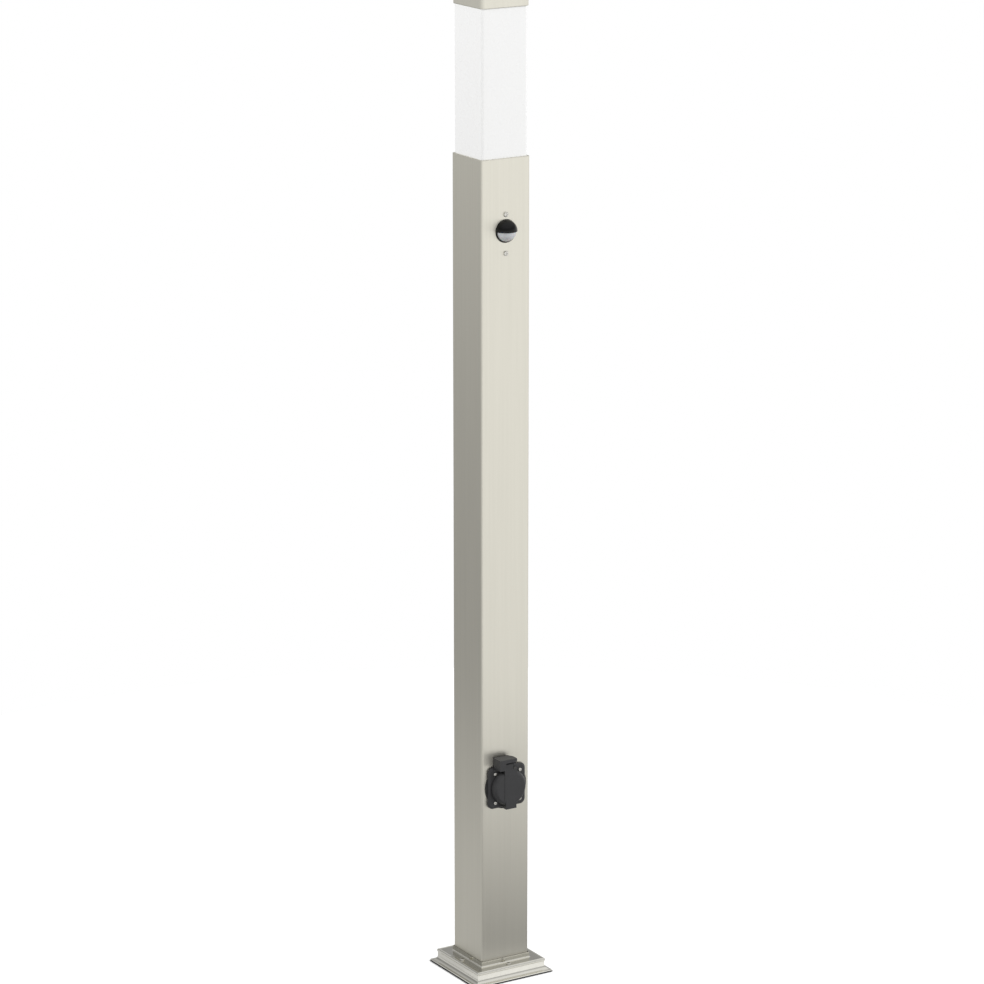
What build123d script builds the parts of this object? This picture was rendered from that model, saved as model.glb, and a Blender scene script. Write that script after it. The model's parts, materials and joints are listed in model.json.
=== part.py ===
from build123d import *
import math
import os

os.makedirs("parts", exist_ok=True)

# Garden socket post in millimetres. The origin is the centre of the underside, +Z is up,
# and the sensor and the socket look along -Y.

# Whole object
total_height = 1100
post_width = 60
post_wall = 1.5
post_corner = 2.5
post_rim_round = 0.6
cap_height = 28
diffuser_shown = 158

# Clearances
slip_gap = 0.2
thread_gap = 0.05
pin_gap = 0.05
lid_gap = 0.3
cut_extra = 2

# Screws: share of the head's radius or height
crown_share = 0.6
cross_length_share = 1.2
cross_width_share = 0.28
cross_depth_share = 0.6

# Foot
lip_ledge = 6
lip_thickness = 0.9
cover_ledge = 13
cover_height = 15
cover_wall = 1.2
flare_height = 5.5
bead_height = 3.6
bead_out = 0.7
rim_width = 1.6
rim_step = 0.4
neck_height = 6
neck_wall = 0.5
neck_root = 1.4
gasket_thickness = 1.0
gasket_inset = 0.2
gasket_web = 11
plate_inset = 2
plate_thickness = 4
plate_corner = 4
anchor_inset = 5
anchor_hole_radius = 3.3
anchor_gasket_gap = 0.4
foot_sleeve_wall = 2.5
foot_sleeve_height = 40
foot_screw_height = 9
foot_screw_inset = 15
cover_screw_out = 7
cover_post_radius = 3.2
grommet_bore_radius = 5.2
grommet_wall = 1.8
grommet_flange = 3
grommet_height = 9
grommet_taper = 22.5

# Earth and terminals
bracket_inset = 10
bracket_height = 110
bracket_thickness = 1.5
bracket_back_gap = 12.5
bracket_foot = 8
bracket_screw_inset = 8
terminal_pitch = 8.4
terminal_poles = 3
terminal_margin = 0.4
terminal_depth = 14
terminal_height = 20
terminal_drop = 30
terminal_sleeve_radius = 2.5
terminal_sleeve_bore = 1.7
terminal_sleeve_inset = 1
terminal_screw_inset = 4.5
earth_x_share = 0.57
earth_y_share = 0.47
lug_radius = 4.5
lug_thickness = 1
lug_reach = 6
lug_barrel_radius = 2
lug_barrel_height = 6
earth_lead_radius = 1.5
earth_lead_drop = 23
earth_lead_rise = 21

# Socket
socket_height = 221
socket_gasket_radius = 26
socket_gasket_thickness = 1
flange_width = 47
flange_thickness = 3.3
flange_corner = 6
flange_bevel = 1.7
recess_radius = 19.5
recess_depth = 17.5
cup_radius = 20.4
insert_thickness = 13
insert_flange = 1.5
socket_back_depth = 11.5
socket_back_wall = 1.4
pin_spacing = 19
pin_hole_radius = 2.6
contact_radius = 3.5
contact_wall = 1
contact_length = 12
contact_cover = 2.4
earth_width = 6
earth_thickness = 0.8
earth_spread = 34.8
earth_short = 3
socket_screw_x = 31.2
socket_screw_z = 33
back_screw_x = 24
back_screw_z = 11
back_pillar_radius = 2.8

# Socket lid and its hinge
lid_radius = 20.2
lid_front_radius = 16.2
lid_out = 12.3
lid_side = 4
lid_wall = 1.7
lid_band_out = 0.3
lid_band_left = -8.2
lid_band_right = 7.4
lid_tab_width = 13.2
lid_tab_drop = 23.5
lid_tab_thickness = 6.5
block_round = 0.6
seal_width = 1.7
seal_thickness = 1.5
hinge_left = -16
hinge_right = 5.4
hinge_top = 34.5
hinge_bottom = 22.5
hinge_out = 15.7
hinge_roof = 3.9
cheek_width = 2.7
knuckle_radius = 3
knuckle_rise = 1.4
hinge_pin_radius = 1
hinge_pin_out = 9.6
hinge_pin_up = 26.6
hinge_pin_cover = 1.5
block_slant_width = 3.6
block_slant_depth = 6.5
neck_thickness = 4.4
spring_wire = 0.6
spring_mean_radius = 1.75
spring_pitch = 1.1
spring_turns = 4
spring_pocket_radius = 2.5
spring_pocket_length = 5.6

# Motion sensor
sensor_drop = 77.5
ball_radius = 12.4
hood_wall = 1
hood_ring = 1.3
lens_radius = 11.2
lens_wall = 0.9
sensor_screw_up = 17.7
sensor_screw_down = 24
case_width = 42
case_end = 6.5
case_depth = 24.8
case_wall = 1.6
case_corner = 2
case_window_radius = 10
boss_radius = 3.8
boss_length = 10
board_thickness = 1.6
board_back = 13.5
board_width = 38
board_height = 32.6
ledge_width = 2
ledge_height = 24
pyro_radius = 4.6
pyro_height = 4
pyro_base_radius = 4.9
pyro_base_thickness = 0.6
relay_width = 19
relay_height = 15
relay_depth = 12
relay_up = 8
trimmer_width = 8
trimmer_depth = 4.5
trimmer_spacing = 20
trimmer_down = 8.5
knob_radius = 2.9
knob_hole_gap = 0.4
knob_stand = 1.5
knob_slot_width = 0.8
knob_slot_depth = 1
spindle_radius = 1.6
spindle_length = 3.2

# Lamp head
carrier_thickness = 1.5
carrier_flange = 14
carrier_drop = 18
carrier_corner = 1.5
carrier_screw_inset = 15
carrier_screw_drop = 8
diffuser_inset = 1.8
diffuser_wall = 2.2
diffuser_corner = 3
cap_top = 2
cap_corner = 5.3
cap_overlap = 10
cap_shoulder = 2.4
cap_top_round = 1.2
cap_lip_round = 0.8
cap_screw_inset = 12
cap_screw_up = 5
holder_radius = 19.5
holder_skirt_height = 16
holder_height = 42
holder_floor = 9
holder_screw_share = 0.66
holder_taper = 4
holder_bore_gap = 0.1
shell_radius = 14.2
shell_wall = 0.6
shell_height = 26
contact_disc_radius = 4
contact_disc_height = 3
contact_disc_taper = 20
holder_screw_inset = 3
bulb_cap_radius = 13.1
bulb_cap_height = 23
bulb_tip_height = 4
bulb_tip_radius = 4.6
bulb_gap = 3.5
bulb_slope = 40
bulb_rise = 31
bulb_wall = 1.2

# Cables inside the post
cable_radius = 3.5
lamp_cable_radius = 3
cable_x = 8.4
clip_width = 12
clip_height = 6
clip_count = 5
clip_wall = 1.2
bend_share = 0.45
sensor_cable_rise = 30
sensor_cable_climb = 80
sensor_cable_drop = 90
sensor_cable_entry = 30
socket_cable_rise = 25
socket_cable_climb = 60

# Screw sizes: head radius, head height, shank radius
m4_head, m4_height, m4_shank = 3.9, 2.0, 1.95
m3_head, m3_height, m3_shank = 2.8, 1.5, 1.45
flange_head, flange_height, flange_shank = 2.1, 1.5, 1.2
fine_head, fine_height, fine_shank = 1.6, 0.9, 1.0

# Levels that several pieces share
post_half = post_width / 2
post_inner = post_width - 2 * post_wall
inner_half = post_inner / 2
plate_top = gasket_thickness + plate_thickness
cap_bottom = total_height - cap_height
post_top = cap_bottom - diffuser_shown
cover_width = post_width + 2 * cover_ledge
lip_width = cover_width + 2 * lip_ledge
plate_width = cover_width - 2 * plate_inset
anchor_spacing = plate_width - 2 * anchor_inset
foot_screw_spacing = post_width - 2 * foot_screw_inset
cover_screw_reach = post_half + cover_screw_out
bracket_width = post_width - 2 * bracket_inset
bracket_screw_spacing = bracket_width - 2 * bracket_screw_inset
bracket_y = inner_half - bracket_back_gap
earth_screw_x = -post_half * earth_x_share
earth_screw_y = -post_half * earth_y_share
sensor_height = post_top - sensor_drop
diffuser_width = post_width - 2 * diffuser_inset
diffuser_inner = diffuser_width - 2 * diffuser_wall
carrier_screw_spacing = post_width - 2 * carrier_screw_inset
cap_screw_spacing = post_width - 2 * cap_screw_inset
holder_screw_spacing = 2 * (holder_radius - holder_screw_inset)
bulb_radius = diffuser_inner / 2 - bulb_gap
carrier_top = post_top - carrier_drop
cover_under = cover_height - rim_step - cover_wall
flange_back = socket_gasket_thickness
flange_front = flange_back + flange_thickness
floor_out = flange_front - recess_depth
insert_back = floor_out - insert_thickness
flange_rear = insert_back - insert_flange
back_rear = flange_rear - socket_back_depth
lid_back = flange_front + lid_gap
pin_z = socket_height + hinge_pin_up
neck_right = hinge_right - cheek_width - lid_gap
case_front = post_wall + slip_gap
case_rear = case_front + case_depth
case_cable_y = -post_half + case_rear - board_back / 2
board_front = case_rear - board_back - board_thickness
board_rear = board_front + board_thickness
screws_middle = sensor_height + (sensor_screw_up - sensor_screw_down) / 2
case_height = sensor_screw_up + sensor_screw_down + 2 * case_end
terminal_base = plate_top + bracket_height - terminal_drop
terminal_width = terminal_poles * terminal_pitch + 2 * terminal_margin
terminal_y = bracket_y - terminal_depth / 2


def front(out):
    """Plane facing forward that stands this far out of the post's front face."""
    return Plane((0, -post_half - out, 0), x_dir=(1, 0, 0), z_dir=(0, -1, 0))


def rearward(y):
    """Plane facing backward at this Y."""
    return Plane((0, y, 0), x_dir=(-1, 0, 0), z_dir=(0, 1, 0))


def sideward(side):
    """Plane on the post's left (-1) or right (+1) face, facing outward."""
    return Plane((side * post_half, 0, 0), x_dir=(0, side, 0), z_dir=(side, 0, 0))


def pair(spacing, height):
    """Two places side by side at one height."""
    return [(-spacing / 2, height), (spacing / 2, height)]


def pan_screws(plane, places, head, height, shank, length):
    """Cross-head screws, with the underside of their heads on the plane."""
    with BuildPart() as screws:
        with BuildSketch(plane):
            with Locations(*places):
                Circle(head)
        extrude(amount=height)
        outward = Axis(plane.origin, plane.z_dir)
        crowns = screws.edges().filter_by(GeomType.CIRCLE).group_by(outward)[-1]
        fillet(crowns, height * crown_share)
        with BuildSketch(plane.offset(height)):
            with Locations(*places):
                Rectangle(head * cross_length_share, head * cross_width_share)
                Rectangle(head * cross_width_share, head * cross_length_share)
        extrude(amount=-height * cross_depth_share, mode=Mode.SUBTRACT)
        with BuildSketch(plane):
            with Locations(*places):
                Circle(shank)
        extrude(amount=-length)
    return screws


def cable(name, points, radii, radius):
    """Round cable along straight runs joined by tangent arcs."""
    with BuildPart() as tube:
        with BuildLine() as route:
            FilletPolyline(*points, radius=radii)
        path = route.wire()
        with BuildSketch(Plane(origin=path @ 0, z_dir=path % 0)):
            Circle(radius)
        sweep(path=path)
    section = math.pi * radius**2
    print(f"{name}: length {path.length:.1f}, radii {[round(r, 1) for r in radii]}, "
          f"volume over section times length {tube.part.volume / section / path.length:.4f}")
    return tube


def bend_radii(points):
    """Largest arc at each corner that the two runs beside it allow."""
    spots = [Vector(*p) for p in points]
    radii = []
    for before, corner, after in zip(spots, spots[1:], spots[2:]):
        turn = math.radians((corner - before).get_angle(after - corner))
        run = min((corner - before).length, (after - corner).length)
        radii.append(run * bend_share / math.tan(turn / 2))
    return radii


# Rubber sheet that the foot stands on
window_width = anchor_spacing - 2 * gasket_web
anchor_half = anchor_spacing / 2
anchor_places = [(x * anchor_half, y * anchor_half) for x in (-1, 1) for y in (-1, 1)]
with BuildPart() as base_gasket:
    with BuildSketch():
        Rectangle(lip_width - 2 * gasket_inset, lip_width - 2 * gasket_inset)
        Rectangle(window_width, window_width, mode=Mode.SUBTRACT)
        with Locations(*anchor_places):
            Circle(anchor_hole_radius + anchor_gasket_gap, mode=Mode.SUBTRACT)
    extrude(amount=gasket_thickness)
base_gasket.part.label = "base_gasket"
export_step(base_gasket.part, "parts/base_gasket.step")

# Steel ground plate
cover_places = [
    (cover_screw_reach, 0), (-cover_screw_reach, 0), (0, cover_screw_reach), (0, -cover_screw_reach),
]
bracket_hole_y = bracket_y + bracket_thickness + bracket_foot / 2
grommet_neck = grommet_bore_radius + grommet_wall
with BuildPart() as base_plate:
    with BuildSketch(Plane.XY.offset(gasket_thickness)):
        RectangleRounded(plate_width, plate_width, plate_corner)
        with Locations(*anchor_places):
            Circle(anchor_hole_radius, mode=Mode.SUBTRACT)
        Circle(grommet_neck, mode=Mode.SUBTRACT)
        with Locations(*cover_places):
            Circle(m3_shank + thread_gap, mode=Mode.SUBTRACT)
        with Locations(*pair(bracket_screw_spacing, bracket_hole_y)):
            Circle(m3_shank + thread_gap, mode=Mode.SUBTRACT)
        with Locations((earth_screw_x, earth_screw_y)):
            Circle(m4_shank + thread_gap, mode=Mode.SUBTRACT)
    extrude(amount=plate_thickness)
base_plate.part.label = "base_plate"
export_step(base_plate.part, "parts/base_plate.step")

# Square sleeve that the post slides over
sleeve_width = post_inner - 2 * slip_gap
sleeve_inner = sleeve_width - 2 * foot_sleeve_wall
with BuildPart() as foot_sleeve:
    with BuildSketch(Plane.XY.offset(plate_top)):
        RectangleRounded(sleeve_width, sleeve_width, post_corner - post_wall + slip_gap)
        Rectangle(sleeve_inner, sleeve_inner, mode=Mode.SUBTRACT)
    extrude(amount=foot_sleeve_height)
    with BuildSketch(Plane.YZ.offset(-post_half)):
        with Locations(*pair(foot_screw_spacing, foot_screw_height)):
            Circle(m4_shank + thread_gap)
    extrude(amount=post_width, mode=Mode.SUBTRACT)
foot_sleeve.part.label = "foot_sleeve"
export_step(foot_sleeve.part, "parts/foot_sleeve.step")

# Square post with its windows and screw holes
socket_places = [
    (x * socket_screw_x / 2, socket_height + z * socket_screw_z / 2) for x in (-1, 1) for z in (-1, 1)
]
sensor_places = [(0, sensor_height + sensor_screw_up), (0, sensor_height - sensor_screw_down)]
carrier_hole_z = carrier_top - carrier_thickness - carrier_screw_drop
with BuildPart() as post_tube:
    with BuildSketch(Plane.XY.offset(plate_top)):
        RectangleRounded(post_width, post_width, post_corner)
        RectangleRounded(post_inner, post_inner, post_corner - post_wall, mode=Mode.SUBTRACT)
    extrude(amount=post_top - plate_top)
    fillet(post_tube.faces().sort_by(Axis.Z)[-1].outer_wire().edges(), post_rim_round)
    with BuildSketch(front(cut_extra)):
        with Locations((0, socket_height)):
            Circle(cup_radius + slip_gap)
        with Locations(*socket_places):
            Circle(flange_shank + thread_gap)
        with Locations((0, sensor_height)):
            Circle(ball_radius + lid_gap)
        with Locations(*sensor_places):
            Circle(m3_shank + thread_gap)
    extrude(amount=-(post_wall + 2 * cut_extra), mode=Mode.SUBTRACT)
    with BuildSketch(rearward(post_half + cut_extra)):
        with Locations(*pair(carrier_screw_spacing, carrier_hole_z)):
            Circle(m3_shank + thread_gap)
    extrude(amount=-(post_wall + 2 * cut_extra), mode=Mode.SUBTRACT)
    with BuildSketch(Plane.YZ.offset(-post_half - cut_extra)):
        with Locations(*pair(foot_screw_spacing, foot_screw_height)):
            Circle(m4_shank + thread_gap)
    extrude(amount=post_width + 2 * cut_extra, mode=Mode.SUBTRACT)
post_tube.part.label = "post_tube"
export_step(post_tube.part, "parts/post_tube.step")

# Screws through the post's sides into the sleeve, two on each side
foot_screw_length = post_wall + slip_gap + foot_sleeve_wall
with BuildPart() as foot_screws:
    for side in (-1, 1):
        one_side = pan_screws(
            sideward(side), pair(foot_screw_spacing, foot_screw_height),
            m4_head, m4_height, m4_shank, foot_screw_length,
        )
        add(one_side.part)
foot_screws.part.label = "foot_screws"
export_step(foot_screws.part, "parts/foot_screws.step")

# One mitred side of the foot's cover
lip_half = lip_width / 2
wall_half = cover_width / 2
hole_half = post_half + lid_gap
dish_z = cover_height - rim_step
lip_top = gasket_thickness + lip_thickness
neck_outer = hole_half + neck_wall
bow_share = 0.3
with BuildPart() as cover_side:
    with BuildSketch(Plane.XZ):
        with BuildLine():
            flare_top = gasket_thickness + flare_height
            bead_bottom = cover_height - bead_height
            flare_run = lip_half - wall_half
            Line((lip_half, gasket_thickness), (lip_half, lip_top))
            ThreePointArc(
                (lip_half, lip_top),
                (wall_half + flare_run * bow_share, lip_top + (flare_top - lip_top) * bow_share),
                (wall_half, flare_top),
            )
            Line((wall_half, flare_top), (wall_half, bead_bottom))
            ThreePointArc(
                (wall_half, bead_bottom),
                (wall_half + bead_out, cover_height - bead_height / 2),
                (wall_half - rim_step, cover_height),
            )
            ThreePointArc(
                (wall_half - rim_step, cover_height),
                (wall_half - rim_step - rim_width * bow_share, cover_height - rim_step * bow_share),
                (wall_half - rim_width, dish_z),
            )
            Line((wall_half - rim_width, dish_z), (neck_outer + neck_root, dish_z))
            ThreePointArc(
                (neck_outer + neck_root, dish_z),
                (neck_outer + neck_root * bow_share, dish_z + neck_root * bow_share),
                (neck_outer, dish_z + neck_root),
            )
            Polyline(
                (neck_outer, dish_z + neck_root),
                (neck_outer, dish_z + neck_height),
                (hole_half, dish_z + neck_height),
                (hole_half, cover_under),
                (wall_half - cover_wall, cover_under),
                (wall_half - cover_wall, gasket_thickness),
                (lip_half, gasket_thickness),
            )
        make_face()
    extrude(amount=lip_half, both=True)
    with BuildSketch():
        Polygon((0, 0), (lip_width, -lip_width), (lip_width, lip_width), align=None)
    extrude(amount=cover_height + neck_height, mode=Mode.INTERSECT)

# The cover: four mitred sides round the post, with its screw holes
with BuildPart() as base_cover:
    with PolarLocations(0, 4):
        add(cover_side.part)
    with BuildSketch(Plane.XY.offset(cover_under - cut_extra)):
        with Locations(*cover_places):
            Circle(m3_shank + thread_gap)
    extrude(amount=cover_wall + 2 * cut_extra, mode=Mode.SUBTRACT)
base_cover.part.label = "base_cover"
export_step(base_cover.part, "parts/base_cover.step")

# Threaded pillars under the cover's screws
with BuildPart() as cover_posts:
    with BuildSketch(Plane.XY.offset(plate_top)):
        with Locations(*cover_places):
            Circle(cover_post_radius)
            Circle(m3_shank + thread_gap, mode=Mode.SUBTRACT)
    extrude(amount=cover_under - plate_top)
cover_posts.part.label = "cover_posts"
export_step(cover_posts.part, "parts/cover_posts.step")

cover_screws = pan_screws(
    Plane.XY.offset(dish_z), cover_places, m3_head, m3_height, m3_shank, dish_z - plate_top
)
cover_screws.part.label = "cover_screws"
export_step(cover_screws.part, "parts/cover_screws.step")

# Rubber inlet for the supply cable
with BuildPart() as cable_grommet:
    with BuildSketch(Plane.XY.offset(gasket_thickness)):
        Circle(grommet_neck)
    extrude(amount=plate_thickness)
    with BuildSketch(Plane.XY.offset(plate_top)):
        Circle(grommet_neck + grommet_flange)
    extrude(amount=grommet_height - plate_top, taper=grommet_taper)
    with BuildSketch(Plane.XY.offset(gasket_thickness - cut_extra)):
        Circle(grommet_bore_radius)
    extrude(amount=grommet_height + 2 * cut_extra, mode=Mode.SUBTRACT)
cable_grommet.part.label = "cable_grommet"
export_step(cable_grommet.part, "parts/cable_grommet.step")

# Angle bracket for the terminals
block_screw_places = [(x * terminal_pitch / 2, terminal_base + terminal_height / 2) for x in (-1, 1)]
with BuildPart() as terminal_bracket:
    with BuildSketch(Plane.XZ.offset(-bracket_y)):
        with Locations((0, plate_top)):
            Rectangle(bracket_width, bracket_height, align=(Align.CENTER, Align.MIN))
        with Locations(*block_screw_places):
            Circle(fine_shank + thread_gap, mode=Mode.SUBTRACT)
    extrude(amount=-bracket_thickness)
    with BuildSketch(Plane.XY.offset(plate_top)):
        with Locations((0, bracket_y)):
            Rectangle(bracket_width, bracket_thickness + bracket_foot, align=(Align.CENTER, Align.MIN))
        with Locations(*pair(bracket_screw_spacing, bracket_hole_y)):
            Circle(m3_shank + thread_gap, mode=Mode.SUBTRACT)
    extrude(amount=bracket_thickness)
terminal_bracket.part.label = "terminal_bracket"
export_step(terminal_bracket.part, "parts/terminal_bracket.step")

bracket_screws = pan_screws(
    Plane.XY.offset(plate_top + bracket_thickness), pair(bracket_screw_spacing, bracket_hole_y),
    m3_head, m3_height, m3_shank, bracket_thickness + plate_thickness,
)
bracket_screws.part.label = "bracket_screws"
export_step(bracket_screws.part, "parts/bracket_screws.step")

# Terminal block with a brass sleeve and two screws for each pole
pole_xs = [(i - (terminal_poles - 1) / 2) * terminal_pitch for i in range(terminal_poles)]
pole_places = [(x, terminal_y) for x in pole_xs]
clamp_heights = (terminal_screw_inset, terminal_height - terminal_screw_inset)
clamp_places = [(x, terminal_base + z) for x in pole_xs for z in clamp_heights]
block_front = terminal_depth - bracket_y
with BuildPart() as terminal_block:
    with BuildSketch(Plane.XY.offset(terminal_base)):
        with Locations((0, terminal_y)):
            Rectangle(terminal_width, terminal_depth)
        with Locations(*pole_places):
            Circle(terminal_sleeve_radius + thread_gap, mode=Mode.SUBTRACT)
    extrude(amount=terminal_height)
    with BuildSketch(Plane.XZ.offset(block_front)):
        with Locations(*clamp_places):
            Circle(fine_head + thread_gap)
    extrude(amount=-terminal_depth / 2, mode=Mode.SUBTRACT)
    with BuildSketch(Plane.XZ.offset(block_front)):
        with Locations(*block_screw_places):
            Circle(fine_shank + thread_gap)
    extrude(amount=-terminal_depth, mode=Mode.SUBTRACT)
terminal_block.part.label = "terminal_block"
export_step(terminal_block.part, "parts/terminal_block.step")

with BuildPart() as terminal_sleeves:
    with BuildSketch(Plane.XY.offset(terminal_base + terminal_sleeve_inset)):
        with Locations(*pole_places):
            Circle(terminal_sleeve_radius)
            Circle(terminal_sleeve_bore, mode=Mode.SUBTRACT)
    extrude(amount=terminal_height - 2 * terminal_sleeve_inset)
terminal_sleeves.part.label = "terminal_sleeves"
export_step(terminal_sleeves.part, "parts/terminal_sleeves.step")

clamp_screw_length = terminal_depth / 2 - terminal_sleeve_radius
with BuildPart() as terminal_screws:
    with BuildSketch(Plane.XZ.offset(block_front)):
        with Locations(*clamp_places):
            Circle(fine_head)
    extrude(amount=-clamp_screw_length)
    with BuildSketch(Plane.XZ.offset(block_front)):
        with Locations(*clamp_places):
            Rectangle(2 * fine_head, fine_head * cross_width_share)
    extrude(amount=-fine_height, mode=Mode.SUBTRACT)
terminal_screws.part.label = "terminal_screws"
export_step(terminal_screws.part, "parts/terminal_screws.step")

block_screws = pan_screws(
    Plane.XZ.offset(block_front), block_screw_places, fine_head, fine_height, fine_shank,
    terminal_depth + bracket_thickness,
)
block_screws.part.label = "block_screws"
export_step(block_screws.part, "parts/block_screws.step")

# Earth screw, ring lug with its barrel, and green-yellow lead
earth_screw = pan_screws(
    Plane.XY.offset(plate_top + lug_thickness), [(earth_screw_x, earth_screw_y)],
    m4_head, m4_height, m4_shank, lug_thickness + plate_thickness,
)
earth_screw.part.label = "earth_screw"
export_step(earth_screw.part, "parts/earth_screw.step")

barrel_y = earth_screw_y + lug_radius + lug_reach - lug_barrel_radius
barrel_top = plate_top + lug_thickness + lug_barrel_height
with BuildPart() as earth_lug:
    with BuildSketch(Plane.XY.offset(plate_top)):
        with Locations((earth_screw_x, earth_screw_y)):
            Circle(lug_radius)
            Rectangle(2 * lug_barrel_radius, lug_radius + lug_reach, align=(Align.CENTER, Align.MIN))
            Circle(m4_shank + thread_gap, mode=Mode.SUBTRACT)
    extrude(amount=lug_thickness)
    with BuildSketch(Plane.XY.offset(plate_top)):
        with Locations((earth_screw_x, barrel_y)):
            Circle(lug_barrel_radius)
    extrude(amount=lug_thickness + lug_barrel_height)
earth_lug.part.label = "earth_lug"
export_step(earth_lug.part, "parts/earth_lug.step")

earth_route = [
    (0, terminal_y, terminal_base),
    (0, terminal_y, terminal_base - earth_lead_drop),
    (earth_screw_x, barrel_y, barrel_top + earth_lead_rise),
    (earth_screw_x, barrel_y, barrel_top),
]
earth_lead = cable("earth_lead", earth_route, bend_radii(earth_route), earth_lead_radius)
earth_lead.part.label = "earth_lead"
export_step(earth_lead.part, "parts/earth_lead.step")

# Rubber disc between the socket and the post
with BuildPart() as socket_gasket:
    with BuildSketch(front(0)):
        with Locations((0, socket_height)):
            Circle(socket_gasket_radius)
            Circle(cup_radius + slip_gap, mode=Mode.SUBTRACT)
        with Locations(*socket_places):
            Circle(flange_shank + thread_gap, mode=Mode.SUBTRACT)
    extrude(amount=socket_gasket_thickness)
socket_gasket.part.label = "socket_gasket"
export_step(socket_gasket.part, "parts/socket_gasket.step")

# Socket housing: bevelled flange, cup for the plug, and the hinge block above
pin_y = -(post_half + hinge_pin_out)
pocket_left = lid_band_left - lid_gap
pocket_right = neck_right + lid_gap
pin_left = hinge_left + hinge_pin_cover
block_back_y = -(post_half + flange_back)
block_depth = hinge_out - flange_back
block_width = hinge_right - hinge_left
with BuildPart() as socket_housing:
    with BuildSketch(front(flange_back)):
        with Locations((0, socket_height)):
            RectangleRounded(flange_width, flange_width, flange_corner)
    extrude(amount=flange_thickness)
    chamfer(socket_housing.faces().sort_by(Axis.Y)[0].outer_wire().edges(), flange_bevel)
    with BuildSketch(front(flange_back)):
        with Locations((0, socket_height)):
            Circle(cup_radius)
    extrude(amount=insert_back - flange_back)
    with BuildSketch(front(flange_back)):
        with Locations((hinge_left, socket_height + hinge_bottom)):
            Rectangle(block_width, hinge_top - hinge_bottom, align=(Align.MIN, Align.MIN))
    extrude(amount=block_depth)
    fillet(
        socket_housing.edges().filter_by(Axis.X).group_by(Axis.Z)[-1].sort_by(Axis.Y)[0], block_round
    )
    with BuildSketch(front(flange_front)):
        with Locations((pocket_left, socket_height)):
            Rectangle(pocket_right - pocket_left, hinge_top - hinge_roof, align=(Align.MIN, Align.MIN))
    extrude(amount=block_depth + cut_extra, mode=Mode.SUBTRACT)
    with BuildSketch(Plane.YZ.offset(pocket_right)):
        with Locations((pin_y, socket_height)):
            Rectangle(
                hinge_out - hinge_pin_out + cut_extra, hinge_top - hinge_roof, align=(Align.MAX, Align.MIN)
            )
        with Locations((pin_y, pin_z)):
            Circle(knuckle_radius, mode=Mode.SUBTRACT)
    extrude(amount=cheek_width + cut_extra, mode=Mode.SUBTRACT)
    with BuildSketch(Plane.YZ.offset(pocket_left)):
        with Locations((pin_y, pin_z)):
            Circle(spring_pocket_radius)
    extrude(amount=-spring_pocket_length, mode=Mode.SUBTRACT)
    with BuildSketch(Plane.YZ.offset(pin_left)):
        with Locations((pin_y, pin_z)):
            Circle(hinge_pin_radius)
    extrude(amount=hinge_right - pin_left + cut_extra, mode=Mode.SUBTRACT)
    with BuildSketch(Plane.XY.offset(socket_height + flange_width / 2)):
        Polygon(
            (hinge_right - block_slant_width, block_back_y),
            (hinge_right, block_back_y),
            (hinge_right, block_back_y - block_slant_depth),
            align=None,
        )
    extrude(amount=hinge_top, mode=Mode.SUBTRACT)
    with BuildSketch(front(flange_front + cut_extra)):
        with Locations((0, socket_height)):
            Circle(recess_radius)
    extrude(amount=-(flange_front - insert_back + 2 * cut_extra), mode=Mode.SUBTRACT)
    with BuildSketch(front(flange_front + cut_extra)):
        with Locations(*socket_places):
            Circle(flange_shank + thread_gap)
    extrude(amount=-(flange_thickness + 2 * cut_extra), mode=Mode.SUBTRACT)
socket_housing.part.label = "socket_housing"
export_step(socket_housing.part, "parts/socket_housing.step")

# Insert with the pin holes, closed behind by its own flange
back_places = pair(back_screw_x, socket_height + back_screw_z)
contact_places = pair(pin_spacing, socket_height)
earth_slot = earth_thickness + 2 * slip_gap
earth_places = [(0, socket_height + s * (earth_spread + earth_thickness) / 2) for s in (-1, 1)]
with BuildPart() as socket_insert:
    with BuildSketch(front(insert_back)):
        with Locations((0, socket_height)):
            Circle(recess_radius - slip_gap)
    extrude(amount=insert_thickness)
    with BuildSketch(front(flange_rear)):
        with Locations((0, socket_height)):
            Circle(cup_radius)
    extrude(amount=insert_flange)
    with BuildSketch(front(flange_rear)):
        with Locations(*contact_places):
            Circle(pin_hole_radius)
        with Locations(*earth_places):
            Rectangle(earth_width + 2 * slip_gap, earth_slot)
    extrude(amount=insert_thickness + insert_flange, mode=Mode.SUBTRACT)
    with BuildSketch(front(flange_rear)):
        with Locations(*contact_places):
            Circle(contact_radius + slip_gap)
    extrude(amount=insert_thickness + insert_flange - contact_cover, mode=Mode.SUBTRACT)
    with BuildSketch(front(flange_rear)):
        with Locations(*back_places):
            Circle(fine_shank + thread_gap)
    extrude(amount=insert_thickness / 2, mode=Mode.SUBTRACT)
socket_insert.part.label = "socket_insert"
export_step(socket_insert.part, "parts/socket_insert.step")

# Brass sleeves that grip the plug's pins
with BuildPart() as contact_sleeves:
    with BuildSketch(front(floor_out - contact_cover)):
        with Locations(*contact_places):
            Circle(contact_radius)
            Circle(contact_radius - contact_wall, mode=Mode.SUBTRACT)
    extrude(amount=-contact_length)
    with BuildSketch(front(floor_out - contact_cover)):
        with Locations(*contact_places):
            Rectangle(contact_wall / 2, 2 * contact_radius + contact_wall)
    extrude(amount=-contact_length / 2, mode=Mode.SUBTRACT)
contact_sleeves.part.label = "contact_sleeves"
export_step(contact_sleeves.part, "parts/contact_sleeves.step")

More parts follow.
